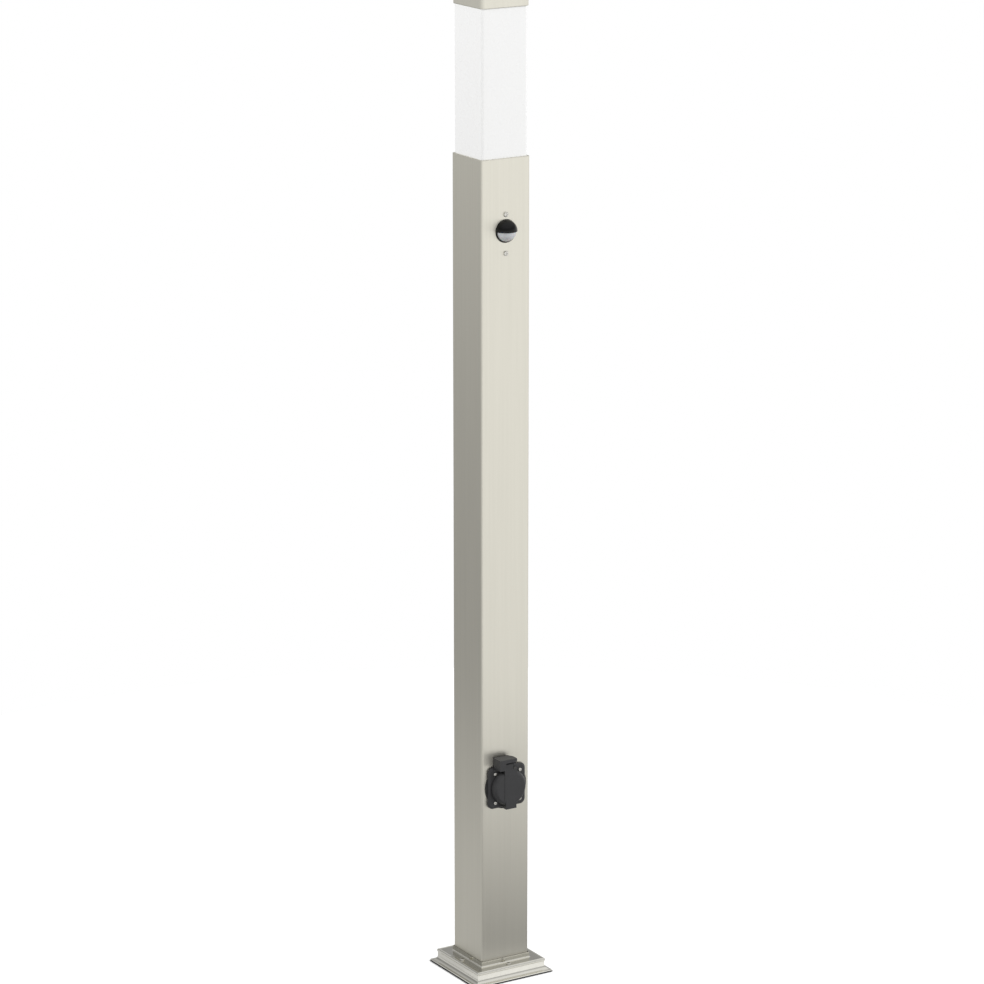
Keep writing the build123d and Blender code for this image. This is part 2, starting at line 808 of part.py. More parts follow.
# Earth strap: a U whose two arms lie along the top and bottom of the recess
arm_length = flange_front - earth_short - flange_rear
with BuildPart() as earth_clip:
    with BuildSketch(front(flange_rear - earth_thickness)):
        with Locations((0, socket_height)):
            Rectangle(earth_width, earth_spread + 2 * earth_thickness)
    extrude(amount=earth_thickness)
    with BuildSketch(front(flange_rear)):
        with Locations(*earth_places):
            Rectangle(earth_width, earth_thickness)
    extrude(amount=arm_length)
earth_clip.part.label = "earth_clip"
export_step(earth_clip.part, "parts/earth_clip.step")

# Cover over the socket's terminals, with the cable's hole below
back_inner = cup_radius - socket_back_wall
back_cable_y = -(post_half + flange_rear - (socket_back_depth - socket_back_wall) / 2)
with BuildPart() as socket_back:
    with BuildSketch(front(back_rear)):
        with Locations((0, socket_height)):
            Circle(cup_radius)
    extrude(amount=socket_back_depth)
    with BuildSketch(front(flange_rear)):
        with Locations((0, socket_height)):
            Circle(back_inner)
    extrude(amount=socket_back_wall - socket_back_depth, mode=Mode.SUBTRACT)
    with BuildSketch(front(back_rear)):
        with Locations(*back_places):
            Circle(back_pillar_radius)
    extrude(amount=socket_back_depth)
    with BuildSketch(front(back_rear)):
        with Locations(*back_places):
            Circle(fine_shank + thread_gap)
    extrude(amount=socket_back_depth, mode=Mode.SUBTRACT)
    with BuildSketch(Plane.XY.offset(socket_height - cup_radius - cut_extra)):
        with Locations((0, back_cable_y)):
            Circle(cable_radius + slip_gap)
    extrude(amount=cup_radius, mode=Mode.SUBTRACT)
socket_back.part.label = "socket_back"
export_step(socket_back.part, "parts/socket_back.step")

back_screws = pan_screws(
    rearward(-post_half - back_rear), back_places, fine_head, fine_height, fine_shank,
    socket_back_depth + insert_thickness / 2,
)
back_screws.part.label = "back_screws"
export_step(back_screws.part, "parts/back_screws.step")

socket_screws = pan_screws(
    front(flange_front), socket_places, flange_head, flange_height, flange_shank,
    flange_front + post_wall + cut_extra,
)
socket_screws.part.label = "socket_screws"
export_step(socket_screws.part, "parts/socket_screws.step")

# Hinge pin, pressed into both cheeks
with BuildPart() as hinge_pin:
    with BuildSketch(Plane.YZ.offset(pin_left)):
        with Locations((pin_y, pin_z)):
            Circle(hinge_pin_radius)
    extrude(amount=hinge_right - pin_left)
hinge_pin.part.label = "hinge_pin"
export_step(hinge_pin.part, "parts/hinge_pin.step")

# Lid spring wound round the pin inside the block
spring_length = spring_turns * spring_pitch
spring_start = pocket_left - spring_pocket_length + (spring_pocket_length - spring_length) / 2
with BuildPart() as lid_spring:
    with BuildLine() as spring_line:
        Helix(
            pitch=spring_pitch, height=spring_length, radius=spring_mean_radius,
            center=(spring_start, pin_y, pin_z), direction=(1, 0, 0),
        )
    spring_wire_path = spring_line.wire()
    with BuildSketch(Plane(origin=spring_wire_path @ 0, z_dir=spring_wire_path % 0)):
        Circle(spring_wire / 2)
    sweep(path=spring_wire_path, is_frenet=True)
print(f"lid_spring: least gap between turns {spring_pitch - spring_wire:.2f}")
lid_spring.part.label = "lid_spring"
export_step(lid_spring.part, "parts/lid_spring.step")

# Lid: tapered dome with a flat band from the hinge to the finger tab
lid_plane = Plane.XY.offset(socket_height)
lid_axis = Axis((0, 0, socket_height), (0, 1, 0))
back_y = -(post_half + lid_back)
side_y = back_y - lid_side
face_y = -(post_half + lid_out)
band_y = face_y - lid_band_out
band_width = lid_band_right - lid_band_left
band_foot_share = 0.86
inner_radius = lid_radius - lid_wall
with BuildPart() as socket_lid:
    with BuildSketch(lid_plane):
        with BuildLine():
            Polyline((0, back_y), (lid_radius, back_y), (lid_radius, side_y))
            ThreePointArc(
                (lid_radius, side_y),
                (
                    lid_front_radius + (lid_radius - lid_front_radius) * (1 - bow_share),
                    side_y + (face_y - side_y) * (1 - bow_share),
                ),
                (lid_front_radius, face_y),
            )
            Polyline((lid_front_radius, face_y), (0, face_y), (0, back_y))
        make_face()
    revolve(axis=lid_axis)
    with BuildSketch(Plane.XZ.offset(-band_y)):
        with Locations((lid_band_left, socket_height)):
            Rectangle(band_width, hinge_bottom - lid_gap, align=(Align.MIN, Align.MIN))
            Rectangle(neck_right - lid_band_left, hinge_pin_up, align=(Align.MIN, Align.MIN))
    extrude(amount=-neck_thickness)
    with BuildSketch(Plane.XZ.offset(-band_y)):
        with Locations((lid_band_left, socket_height)):
            Rectangle(band_width, lid_front_radius * band_foot_share, align=(Align.MIN, Align.MAX))
    extrude(amount=-lid_wall)
    with BuildSketch(Plane.XZ.offset(-band_y)):
        with Locations((0, socket_height)):
            Rectangle(lid_tab_width, lid_tab_drop, align=(Align.CENTER, Align.MAX))
    extrude(amount=-lid_tab_thickness)
    with BuildSketch(Plane.YZ.offset(lid_band_left)):
        with Locations((pin_y, pin_z)):
            Circle(knuckle_radius)
        with Locations((band_y, pin_z)):
            Rectangle(pin_y - band_y, knuckle_rise, align=(Align.MIN, Align.MIN))
    extrude(amount=neck_right - lid_band_left)
    with BuildSketch(Plane.XZ.offset(-back_y)):
        with Locations((0, socket_height)):
            Circle(inner_radius)
    extrude(amount=lid_out - lid_back - lid_wall, mode=Mode.SUBTRACT)
    with BuildSketch(Plane.YZ.offset(lid_band_left - cut_extra)):
        with Locations((pin_y, pin_z)):
            Circle(hinge_pin_radius + pin_gap)
    extrude(amount=band_width + 2 * cut_extra, mode=Mode.SUBTRACT)
socket_lid.part.label = "socket_lid"
export_step(socket_lid.part, "parts/socket_lid.step")

# Rubber ring inside the lid's rim
with BuildPart() as lid_seal:
    with BuildSketch(Plane.XZ.offset(-back_y)):
        with Locations((0, socket_height)):
            Circle(inner_radius)
            Circle(inner_radius - seal_width, mode=Mode.SUBTRACT)
    extrude(amount=seal_thickness)
lid_seal.part.label = "lid_seal"
export_step(lid_seal.part, "parts/lid_seal.step")

# Sensor ball: a black hood over the upper half and a ring round the lower half
ball_centre = (0, -post_half, sensor_height)
with BuildPart() as sensor_hood:
    with Locations(ball_centre):
        Sphere(ball_radius)
        Sphere(ball_radius - hood_wall, mode=Mode.SUBTRACT)
    with BuildSketch(front(0)):
        with Locations((0, sensor_height)):
            Rectangle(4 * ball_radius, 4 * ball_radius)
    extrude(amount=2 * ball_radius, mode=Mode.INTERSECT)
    with BuildSketch(front(0)):
        with Locations((0, sensor_height)):
            Circle(ball_radius)
            Circle(ball_radius - hood_wall, mode=Mode.SUBTRACT)
    extrude(amount=-case_front)
    with BuildSketch(front(hood_ring)):
        with Locations((0, sensor_height)):
            Rectangle(2 * ball_radius, 2 * ball_radius, align=(Align.CENTER, Align.MAX))
    extrude(amount=ball_radius, mode=Mode.SUBTRACT)
sensor_hood.part.label = "sensor_hood"
export_step(sensor_hood.part, "parts/sensor_hood.step")

with BuildPart() as sensor_lens:
    with Locations(ball_centre):
        Sphere(lens_radius)
        Sphere(lens_radius - lens_wall, mode=Mode.SUBTRACT)
    with BuildSketch(front(0)):
        with Locations((0, sensor_height)):
            Rectangle(4 * ball_radius, 4 * ball_radius)
    extrude(amount=2 * ball_radius, mode=Mode.INTERSECT)
    with BuildSketch(front(0)):
        with Locations((0, sensor_height)):
            Circle(lens_radius)
            Circle(lens_radius - lens_wall, mode=Mode.SUBTRACT)
    extrude(amount=-case_front)
sensor_lens.part.label = "sensor_lens"
export_step(sensor_lens.part, "parts/sensor_lens.step")

# Sensor case behind the post's wall, open at the back
case_inner = case_width - 2 * case_wall
case_inner_height = case_height - 2 * case_wall
ledge_length = board_front - case_front - case_wall
with BuildPart() as sensor_case:
    with BuildSketch(front(-case_front)):
        with Locations((0, screws_middle)):
            RectangleRounded(case_width, case_height, case_corner)
    extrude(amount=-case_depth)
    with BuildSketch(front(-case_front - case_wall)):
        with Locations((0, screws_middle)):
            Rectangle(case_inner, case_inner_height)
    extrude(amount=-case_depth, mode=Mode.SUBTRACT)
    with BuildSketch(front(-case_front)):
        with Locations(*sensor_places):
            Circle(boss_radius)
    extrude(amount=-boss_length)
    with BuildSketch(front(-case_front - case_wall)):
        for side in (-1, 1):
            with Locations((side * (case_inner - ledge_width) / 2, screws_middle)):
                Rectangle(ledge_width, ledge_height)
    extrude(amount=-ledge_length)
    with BuildSketch(front(-case_front)):
        with Locations((0, sensor_height)):
            Circle(case_window_radius)
    extrude(amount=-case_wall, mode=Mode.SUBTRACT)
    with BuildSketch(front(-case_front)):
        with Locations(*sensor_places):
            Circle(m3_shank + thread_gap)
    extrude(amount=-boss_length, mode=Mode.SUBTRACT)
    with BuildSketch(Plane.XY.offset(screws_middle - case_height / 2)):
        with Locations((-cable_x, case_cable_y)):
            Circle(cable_radius + slip_gap)
    extrude(amount=case_wall, mode=Mode.SUBTRACT)
    with BuildSketch(Plane.XY.offset(screws_middle + case_height / 2 - case_wall)):
        with Locations((cable_x, case_cable_y)):
            Circle(lamp_cable_radius + slip_gap)
    extrude(amount=case_wall, mode=Mode.SUBTRACT)
sensor_case.part.label = "sensor_case"
export_step(sensor_case.part, "parts/sensor_case.step")

# Back of the sensor, with ribs on the board and holes for the two setting knobs
knob_places = pair(trimmer_spacing, screws_middle - trimmer_down)
with BuildPart() as sensor_back:
    with BuildSketch(front(-case_rear)):
        with Locations((0, screws_middle)):
            RectangleRounded(case_width, case_height, case_corner)
    extrude(amount=-case_wall)
    with BuildSketch(front(-case_rear)):
        for side in (-1, 1):
            with Locations((side * (case_inner - ledge_width) / 2 - side * slip_gap, screws_middle)):
                Rectangle(ledge_width, ledge_height)
    extrude(amount=board_back)
    with BuildSketch(front(-case_rear - case_wall - cut_extra)):
        with Locations(*knob_places):
            Circle(knob_radius + knob_hole_gap)
    extrude(amount=case_wall + 2 * cut_extra, mode=Mode.SUBTRACT)
sensor_back.part.label = "sensor_back"
export_step(sensor_back.part, "parts/sensor_back.step")

with BuildPart() as sensor_board:
    with BuildSketch(front(-board_front)):
        with Locations((0, screws_middle)):
            Rectangle(board_width, board_height)
    extrude(amount=-board_thickness)
sensor_board.part.label = "sensor_board"
export_step(sensor_board.part, "parts/sensor_board.step")

# Heat detector in its metal can, looking through the lens
with BuildPart() as pyro_element:
    with BuildSketch(front(-board_front)):
        with Locations((0, sensor_height)):
            Circle(pyro_base_radius)
    extrude(amount=pyro_base_thickness)
    with BuildSketch(front(-board_front)):
        with Locations((0, sensor_height)):
            Circle(pyro_radius)
    extrude(amount=pyro_height)
    with BuildSketch(front(-board_front + pyro_height)):
        with Locations((0, sensor_height)):
            Rectangle(pyro_radius, pyro_radius)
    extrude(amount=-pyro_base_thickness, mode=Mode.SUBTRACT)
pyro_element.part.label = "pyro_element"
export_step(pyro_element.part, "parts/pyro_element.step")

with BuildPart() as sensor_relay:
    with BuildSketch(front(-board_rear)):
        with Locations((0, screws_middle + relay_up)):
            RectangleRounded(relay_width, relay_height, case_wall / 2)
    extrude(amount=-relay_depth)
sensor_relay.part.label = "sensor_relay"
export_step(sensor_relay.part, "parts/sensor_relay.step")

# Setting trimmers on the board's back, and the knobs that turn in them
spindle_hole = spindle_length + lid_gap
with BuildPart() as trimmers:
    with BuildSketch(front(-board_rear)):
        with Locations(*knob_places):
            Rectangle(trimmer_width, trimmer_width)
    extrude(amount=-trimmer_depth)
    with BuildSketch(front(-board_rear - trimmer_depth)):
        with Locations(*knob_places):
            Circle(spindle_radius + pin_gap)
    extrude(amount=spindle_hole, mode=Mode.SUBTRACT)
trimmers.part.label = "trimmers"
export_step(trimmers.part, "parts/trimmers.step")

knob_back = board_rear + trimmer_depth + lid_gap
knob_end = case_rear + case_wall + knob_stand


def setting_knob(place):
    """Slotted knob on a spindle, seen from the back of the sensor."""
    with BuildPart() as knob:
        with BuildSketch(front(-knob_back)):
            with Locations(place):
                Circle(knob_radius)
        extrude(amount=knob_back - knob_end)
        with BuildSketch(front(-knob_back)):
            with Locations(place):
                Circle(spindle_radius)
        extrude(amount=spindle_length)
        with BuildSketch(front(-knob_end)):
            with Locations(place):
                Rectangle(2 * knob_radius, knob_slot_width)
        extrude(amount=knob_slot_depth, mode=Mode.SUBTRACT)
    return knob


time_knob = setting_knob(knob_places[0])
time_knob.part.label = "time_knob"
export_step(time_knob.part, "parts/time_knob.step")

lux_knob = setting_knob(knob_places[1])
lux_knob.part.label = "lux_knob"
export_step(lux_knob.part, "parts/lux_knob.step")

sensor_screws = pan_screws(
    front(0), sensor_places, m3_head, m3_height, m3_shank, case_front + boss_length - slip_gap
)
sensor_screws.part.label = "sensor_screws"
export_step(sensor_screws.part, "parts/sensor_screws.step")

# Sheet bridge inside the top of the post, with a flange down the front and the back
carrier_width = post_inner - 2 * slip_gap
with BuildPart() as lamp_carrier:
    with BuildSketch(Plane.XY.offset(carrier_top)):
        RectangleRounded(carrier_width, carrier_width, carrier_corner)
    extrude(amount=-carrier_thickness)
    with BuildSketch(Plane.XY.offset(carrier_top)):
        for side in (-1, 1):
            with Locations((0, side * (carrier_width - carrier_thickness) / 2)):
                Rectangle(carrier_width - 2 * carrier_corner, carrier_thickness)
    extrude(amount=-carrier_flange)
    with BuildSketch(Plane.XY.offset(carrier_top)):
        with Locations((cable_x, case_cable_y)):
            Circle(lamp_cable_radius + slip_gap)
        with Locations(*pair(holder_screw_spacing, 0)):
            Circle(m3_shank + thread_gap)
    extrude(amount=-carrier_thickness, mode=Mode.SUBTRACT)
    with BuildSketch(rearward(carrier_width / 2)):
        with Locations(*pair(carrier_screw_spacing, carrier_hole_z)):
            Circle(m3_shank + thread_gap)
    extrude(amount=-carrier_thickness, mode=Mode.SUBTRACT)
lamp_carrier.part.label = "lamp_carrier"
export_step(lamp_carrier.part, "parts/lamp_carrier.step")

carrier_screws = pan_screws(
    rearward(post_half), pair(carrier_screw_spacing, carrier_hole_z),
    m3_head, m3_height, m3_shank, post_wall + slip_gap + 2 * carrier_thickness,
)
carrier_screws.part.label = "carrier_screws"
export_step(carrier_screws.part, "parts/carrier_screws.step")

# Lamp holder with its threaded shell, bottom contact and screws
holder_screw_reach = holder_floor * holder_screw_share
with BuildPart() as lamp_holder:
    with BuildSketch(Plane.XY.offset(carrier_top)):
        Circle(holder_radius)
    extrude(amount=holder_skirt_height)
    with BuildSketch(Plane.XY.offset(carrier_top + holder_skirt_height)):
        Circle(holder_radius)
    extrude(amount=holder_height - holder_skirt_height, taper=holder_taper)
    with BuildSketch(Plane.XY.offset(carrier_top + holder_floor)):
        Circle(shell_radius + holder_bore_gap)
    extrude(amount=holder_height, mode=Mode.SUBTRACT)
    with BuildSketch(Plane.XY.offset(carrier_top)):
        with Locations(*pair(holder_screw_spacing, 0)):
            Circle(m3_shank + thread_gap)
    extrude(amount=holder_screw_reach, mode=Mode.SUBTRACT)
lamp_holder.part.label = "lamp_holder"
export_step(lamp_holder.part, "parts/lamp_holder.step")

shell_bottom = carrier_top + holder_floor
with BuildPart() as holder_shell:
    with BuildSketch(Plane.XY.offset(shell_bottom)):
        Circle(shell_radius)
        Circle(shell_radius - shell_wall, mode=Mode.SUBTRACT)
    extrude(amount=shell_height)
holder_shell.part.label = "holder_shell"
export_step(holder_shell.part, "parts/holder_shell.step")

with BuildPart() as holder_contact:
    with BuildSketch(Plane.XY.offset(shell_bottom)):
        Circle(contact_disc_radius)
    extrude(amount=contact_disc_height, taper=contact_disc_taper)
holder_contact.part.label = "holder_contact"
export_step(holder_contact.part, "parts/holder_contact.step")

holder_screws = pan_screws(
    Plane((0, 0, carrier_top - carrier_thickness), x_dir=(1, 0, 0), z_dir=(0, 0, -1)),
    pair(holder_screw_spacing, 0), m3_head, m3_height, m3_shank,
    carrier_thickness + holder_screw_reach - slip_gap,
)
holder_screws.part.label = "holder_screws"
export_step(holder_screws.part, "parts/holder_screws.step")

# Bulb: screw cap with its tip, and the hollow globe
bulb_tip_z = shell_bottom + contact_disc_height
bulb_cap_z = bulb_tip_z + bulb_tip_height
bulb_neck_z = bulb_cap_z + bulb_cap_height
with BuildPart() as bulb_cap:
    with BuildSketch(Plane.XY.offset(bulb_cap_z)):
        Circle(bulb_cap_radius)
    extrude(amount=bulb_cap_height)
    with BuildSketch(Plane.XY.offset(bulb_tip_z)):
        Circle(bulb_tip_radius)
    with BuildSketch(Plane.XY.offset(bulb_cap_z)):
        Circle(bulb_cap_radius - shell_wall)
    loft()
bulb_cap.part.label = "bulb_cap"
export_step(bulb_cap.part, "parts/bulb_cap.step")

globe_z = bulb_neck_z + bulb_rise


def bulb_profile(inset):
    """Half outline of the globe, from its open neck to its top, drawn in by an inset."""
    radius = bulb_radius - inset
    neck = bulb_cap_radius - inset
    slope = math.radians(bulb_slope)
    side = (radius * math.cos(slope), globe_z - radius * math.sin(slope))
    return radius, neck, side


with BuildPart() as bulb_globe:
    for inset, mode in ((0, Mode.ADD), (bulb_wall, Mode.SUBTRACT)):
        radius, neck, side = bulb_profile(inset)
        with BuildSketch(Plane.XZ):
            with BuildLine():
                Line((0, bulb_neck_z), (neck, bulb_neck_z))
                Line((neck, bulb_neck_z), side)
                ThreePointArc(side, (radius, globe_z), (0, globe_z + radius))
                Line((0, globe_z + radius), (0, bulb_neck_z))
            make_face()
        revolve(axis=Axis.Z, mode=mode)
bulb_globe.part.label = "bulb_globe"
export_step(bulb_globe.part, "parts/bulb_globe.step")

# Opal diffuser tube, standing on the carrier inside the post
diffuser_top = cap_bottom + cap_overlap
with BuildPart() as diffuser:
    with BuildSketch(Plane.XY.offset(carrier_top)):
        RectangleRounded(diffuser_width, diffuser_width, diffuser_corner)
        RectangleRounded(
            diffuser_inner, diffuser_inner, diffuser_corner - diffuser_wall, mode=Mode.SUBTRACT
        )
    extrude(amount=diffuser_top - carrier_top)
    with BuildSketch(rearward(diffuser_width / 2)):
        with Locations(*pair(cap_screw_spacing, cap_bottom + cap_screw_up)):
            Circle(fine_shank + thread_gap)
    extrude(amount=-diffuser_wall, mode=Mode.SUBTRACT)
diffuser.part.label = "diffuser"
export_step(diffuser.part, "parts/diffuser.step")

# Cap over the diffuser, with a shoulder that rests on the diffuser's top edge
cap_inner = diffuser_width + 2 * slip_gap
shoulder_width = cap_inner - 2 * cap_shoulder
with BuildPart() as cap:
    with BuildSketch(Plane.XY.offset(cap_bottom)):
        RectangleRounded(post_width, post_width, cap_corner)
    extrude(amount=cap_height)
    fillet(cap.faces().sort_by(Axis.Z)[-1].edges(), cap_top_round)
    fillet(cap.faces().sort_by(Axis.Z)[0].edges(), cap_lip_round)
    with BuildSketch(Plane.XY.offset(cap_bottom)):
        RectangleRounded(cap_inner, cap_inner, diffuser_corner + slip_gap)
    extrude(amount=cap_overlap, mode=Mode.SUBTRACT)
    with BuildSketch(Plane.XY.offset(cap_bottom)):
        RectangleRounded(shoulder_width, shoulder_width, diffuser_corner)
    extrude(amount=cap_height - cap_top, mode=Mode.SUBTRACT)
    with BuildSketch(rearward(post_half)):
        with Locations(*pair(cap_screw_spacing, cap_bottom + cap_screw_up)):
            Circle(fine_shank + thread_gap)
    extrude(amount=-(post_width - cap_inner) / 2, mode=Mode.SUBTRACT)
cap.part.label = "cap"
export_step(cap.part, "parts/cap.step")

cap_screws = pan_screws(
    rearward(post_half), pair(cap_screw_spacing, cap_bottom + cap_screw_up),
    fine_head, fine_height, fine_shank, (post_width - cap_inner) / 2 + slip_gap + diffuser_wall,
)
cap_screws.part.label = "cap_screws"
export_step(cap_screws.part, "parts/cap_screws.step")

# Cables inside the post: up the back wall to the sensor, up to the socket, and on to the lamp
wall_y = inner_half - clip_wall - cable_radius
terminal_top = terminal_base + terminal_height
case_bottom_z = screws_middle - case_height / 2
case_top_z = screws_middle + case_height / 2
sensor_route = [
    (-cable_x, terminal_y, terminal_top),
    (-cable_x, terminal_y, terminal_top + sensor_cable_rise),
    (-cable_x, wall_y, terminal_top + sensor_cable_climb),
    (-cable_x, wall_y, case_bottom_z - sensor_cable_drop),
    (-cable_x, case_cable_y, case_bottom_z - sensor_cable_entry),
    (-cable_x, case_cable_y, case_bottom_z + case_wall),
]
sensor_cable = cable("sensor_cable", sensor_route, bend_radii(sensor_route), cable_radius)
sensor_cable.part.label = "sensor_cable"
export_step(sensor_cable.part, "parts/sensor_cable.step")

back_floor_z = socket_height - back_inner
socket_route = [
    (cable_x, terminal_y, terminal_top),
    (cable_x, terminal_y, terminal_top + socket_cable_rise),
    (0, back_cable_y, terminal_top + socket_cable_climb),
    (0, back_cable_y, back_floor_z + slip_gap),
]
socket_cable = cable("socket_cable", socket_route, bend_radii(socket_route), cable_radius)
socket_cable.part.label = "socket_cable"
export_step(socket_cable.part, "parts/socket_cable.step")

with BuildPart() as lamp_cable:
    with BuildSketch(Plane.XY.offset(case_top_z - case_wall)):
        with Locations((cable_x, case_cable_y)):
            Circle(lamp_cable_radius)
    extrude(amount=carrier_top - case_top_z + case_wall)
lamp_cable.part.label = "lamp_cable"
export_step(lamp_cable.part, "parts/lamp_cable.step")

# Clips that hold the sensor's cable on the back wall
clip_low = sensor_route[2][2] + bend_share * math.dist(sensor_route[1], sensor_route[2]) + clip_height
clip_high = sensor_route[3][2] - bend_share * math.dist(sensor_route[3], sensor_route[4]) - clip_height
clip_zs = [clip_low + (clip_high - clip_low) * i / (clip_count - 1) for i in range(clip_count)]
clip_reach = inner_half - wall_y + cable_radius + clip_wall
with BuildPart() as cable_clips:
    for clip_z in clip_zs:
        with BuildSketch(Plane.XY.offset(clip_z - clip_height / 2)):
            with Locations((-cable_x, inner_half)):
                Rectangle(clip_width, clip_reach, align=(Align.CENTER, Align.MAX))
            with Locations((-cable_x, wall_y)):
                Circle(cable_radius + thread_gap, mode=Mode.SUBTRACT)
        extrude(amount=clip_height)
cable_clips.part.label = "cable_clips"
export_step(cable_clips.part, "parts/cable_clips.step")
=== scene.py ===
import json
import math

import bpy
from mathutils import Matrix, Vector

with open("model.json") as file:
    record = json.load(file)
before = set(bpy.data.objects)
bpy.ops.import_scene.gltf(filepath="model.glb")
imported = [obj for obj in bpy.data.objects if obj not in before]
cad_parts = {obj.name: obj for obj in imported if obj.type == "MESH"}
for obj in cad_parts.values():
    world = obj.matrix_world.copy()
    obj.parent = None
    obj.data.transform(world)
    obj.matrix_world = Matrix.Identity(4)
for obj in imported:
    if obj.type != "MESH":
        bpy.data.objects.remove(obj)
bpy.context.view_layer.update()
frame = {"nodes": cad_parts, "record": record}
nodes = frame["nodes"]
scene = bpy.context.scene
scene.view_settings.view_transform = "Standard"

# Camera: the photograph's direction, with the lens tilted down
camera_azimuth = math.radians(31.59)
camera_distance = 4.141
camera_side = 0.0012
camera_height = 1.655
camera_pitch = math.radians(15.0)
camera_lens = 145.65
camera_sensor = 36.0
clip_end = 60

# Level direction in which the front face mirrors the camera. The left face mirrors the other way.
mirror_way = (math.sin(camera_azimuth), -math.cos(camera_azimuth), 0.0)

# Worn edges: how far the rounded normal turns there, and how patchy the wear is
edge_dots = (0.82, 0.995)
wear_patches = (0.35, 1.0)

# Sensor lens: its grid of segments
grid_scale = 52.0
grid_line = 0.12
grid_depth = 0.00012

# Floor: a disc, its two tones, its painted contact shadow and the painted reflection that the metal sees
# of it
floor_reach = 1.1
floor_points = 96
floor_tones = (0.42, 0.44)
floor_glow = 0.76
# Painted contact shadow: within contact_reach of the object, the floor's colour darkens to contact_tone.
contact_reach = 0.004
contact_range = (0.74, 0.99)
contact_tone = 0.03
# Painted reflection: below are the greys that the floor shows only to reflected rays, brighter in a square
# patch round the foot that ends at foot_edge.
foot_edge = (0.066, 0.074)
floor_mirror = [
    (-1.1, 0.32), (-0.7, 0.42), (-0.4, 0.54), (-0.1, 0.54), (0.1, 0.36), (0.2, 0.42),
    (0.4, 0.55), (0.9, 0.84), (1.1, 0.92),
]
foot_mirror = [(-0.1, 0.60), (-0.04, 0.62), (0.04, 1.0), (0.1, 1.05)]

# Sky: what the metal sees from down to up, in front and behind, and the soft light left and right
front_sky = [
    (-1.0, 0.86), (-0.32, 0.86), (-0.27, 1.02), (-0.22, 1.09), (0.08, 1.09), (0.30, 0.50),
    (0.45, 0.50), (0.7, 0.9), (1.0, 0.95),
]
rear_sky = [
    (-1.0, 0.33), (-0.30, 0.33), (-0.25, 0.27), (-0.20, 0.42), (-0.14, 0.74), (0.05, 0.78),
    (0.30, 0.28), (0.45, 0.28), (0.7, 0.6), (1.0, 0.8),
]
side_range = (-0.8, 1.0)
soft_tones = (0.36, 0.66)

# Lamps: name, place, size, power and the point they shine at
lamps = [
    ("key", (1.9, -2.6, 2.6), 1.4, 70, (0, 0, 0.55)),
    ("fill", (-1.1, 0.15, 1.25), 0.6, 7.3, (0, 0, 1.0)),
    ("back", (0.8, 2.6, 2.2), 1.4, 34, (0, 0, 0.55)),
]

across = Vector((math.cos(camera_azimuth), -math.sin(camera_azimuth), 0))
along = Vector((math.sin(camera_azimuth), math.cos(camera_azimuth), 0))
camera_data = bpy.data.cameras.new("camera")
camera_data.lens = camera_lens
camera_data.sensor_width = camera_sensor
camera_data.clip_end = clip_end
camera = bpy.data.objects.new("camera", camera_data)
scene.collection.objects.link(camera)
camera.location = across * camera_side - along * camera_distance + Vector((0, 0, camera_height))
camera.rotation_euler = (math.pi / 2 - camera_pitch, 0, -camera_azimuth)
scene.camera = camera


def add(tree, kind, inputs=None, **settings):
    """New node with its settings, its constants and its links."""
    made = tree.nodes.new(kind)
    for key, value in settings.items():
        setattr(made, key, value)
    for key, value in (inputs or {}).items():
        if isinstance(value, bpy.types.NodeSocket):
            tree.links.new(value, made.inputs[key])
        else:
            made.inputs[key].default_value = value
    return made


def spread(tree, value, low, high, start=0.3, end=0.7):
    """Value from start to end, spread over low to high."""
    return add(
        tree, "ShaderNodeMapRange",
        {"Value": value, "From Min": start, "From Max": end, "To Min": low, "To Max": high},
    ).outputs["Result"]


def blend_colours(tree, factor, first, second):
    """Colour between two others."""
    made = add(tree, "ShaderNodeMix", {0: factor, 6: first, 7: second}, data_type="RGBA")
    return made.outputs[2]


def noise(tree, place, scale, stretch=(1, 1, 1), detail=4.0):
    """Noise at a scale in cycles a metre, stretched along some axes."""
    mapped = add(tree, "ShaderNodeMapping", {"Vector": place, "Scale": stretch})
    made = add(
        tree, "ShaderNodeTexNoise",
        {"Vector": mapped.outputs["Vector"], "Scale": scale, "Detail": detail, "Roughness": 0.55},
    )
    return made.outputs["Fac"]


def edges(tree, radius):
    """1 on sharp edges and 0 on flat faces."""
    bevel = add(tree, "ShaderNodeBevel", {"Radius": radius}, samples=6)
    surface = add(tree, "ShaderNodeNewGeometry")
    dot = add(
        tree, "ShaderNodeVectorMath",
        {0: bevel.outputs["Normal"], 1: surface.outputs["Normal"]}, operation="DOT_PRODUCT",
    )
    return spread(tree, dot.outputs["Value"], 1.0, 0.0, *edge_dots)


def rgba(colour):
    """Colour with full alpha."""
    return (*colour, 1.0)


def grey(tone):
    """Grey of one tone, with full alpha."""
    return (tone, tone, tone, 1.0)


